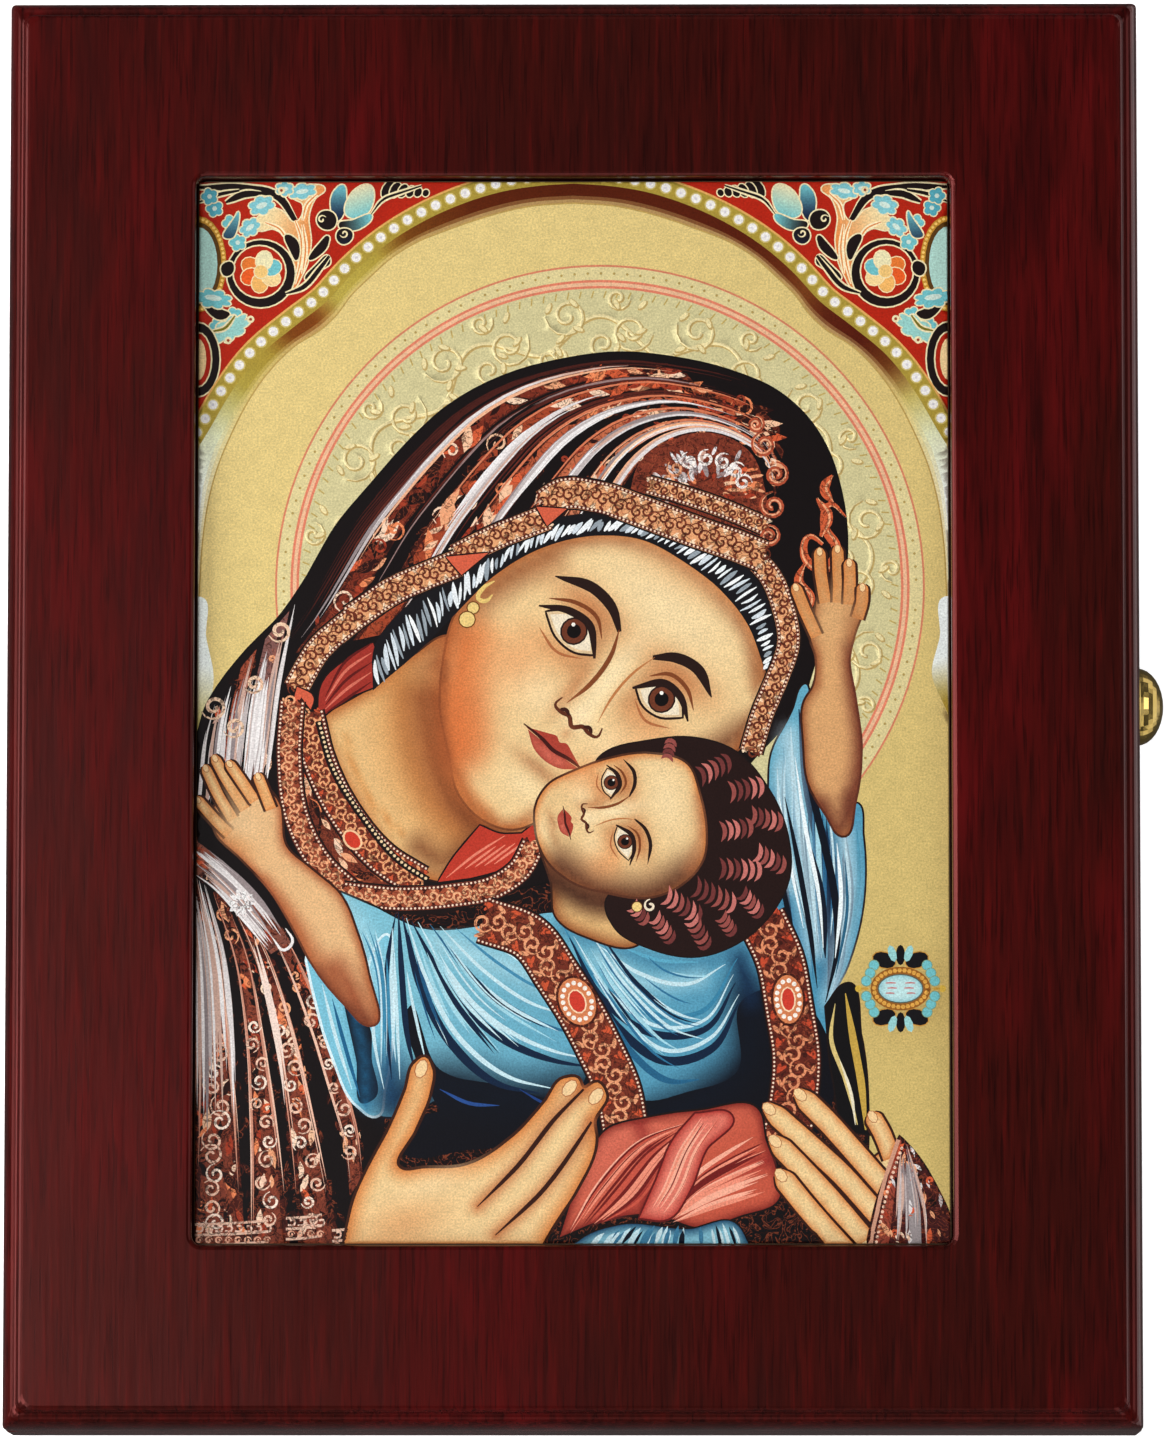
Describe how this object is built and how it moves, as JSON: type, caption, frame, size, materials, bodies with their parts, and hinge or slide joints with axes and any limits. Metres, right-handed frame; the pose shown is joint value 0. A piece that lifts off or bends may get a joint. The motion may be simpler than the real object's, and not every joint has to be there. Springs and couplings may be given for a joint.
{
  "type": "hinged icon case",
  "caption": "Shallow lacquered wooden case with a gilt icon plate recessed in its hinged lid and a brass push-button catch.",
  "frame": {"origin": "centre of the case's underside, which is its footprint's centre without the button", "axes": "+X to the icon's right as it is seen, where the button is; +Y to the icon's top; +Z out of its face"},
  "size_m": [0.2285, 0.282, 0.0413],
  "materials": {
    "lacquered_mahogany": "dark red-brown veneer under gloss lacquer, grain along the case's length",
    "icon_print": "gilt and coloured print on a thin board, low relief on the gold",
    "polished_brass": "polished"
  },
  "bodies": {
    "case": {"floor_panel": "lacquered_mahogany", "wall_bottom": "lacquered_mahogany", "wall_right": "lacquered_mahogany", "wall_top": "lacquered_mahogany", "wall_left": "lacquered_mahogany", "catch_collar": "polished_brass", "hinge_1_case_leaf": "polished_brass", "hinge_1_pin": "polished_brass", "hinge_1_case_screw_1": "polished_brass", "hinge_1_case_screw_2": "polished_brass", "hinge_2_case_leaf": "polished_brass", "hinge_2_pin": "polished_brass", "hinge_2_case_screw_1": "polished_brass", "hinge_2_case_screw_2": "polished_brass"},
    "lid": {"lid_board": "lacquered_mahogany", "icon_plate": "icon_print", "lid_striker": "polished_brass", "striker_screw_1": "polished_brass", "striker_screw_2": "polished_brass", "hinge_1_lid_leaf": "polished_brass", "hinge_1_lid_screw_1": "polished_brass", "hinge_1_lid_screw_2": "polished_brass", "hinge_2_lid_leaf": "polished_brass", "hinge_2_lid_screw_1": "polished_brass", "hinge_2_lid_screw_2": "polished_brass"},
    "button": {"catch_button": "polished_brass"}
  },
  "joints": [
    {"name": "lid_hinge", "type": "hinge", "parent": "case", "child": "lid", "pos_m": [-0.1083, 0, 0.02515], "axis": [0, -1, 0], "range_deg": [0, 100]},
    {"name": "button_press", "type": "slide", "parent": "case", "child": "button", "axis": [-1, 0, 0], "range_m": [0, 0.0025], "stiffness_N_per_m": 300}
  ]
}
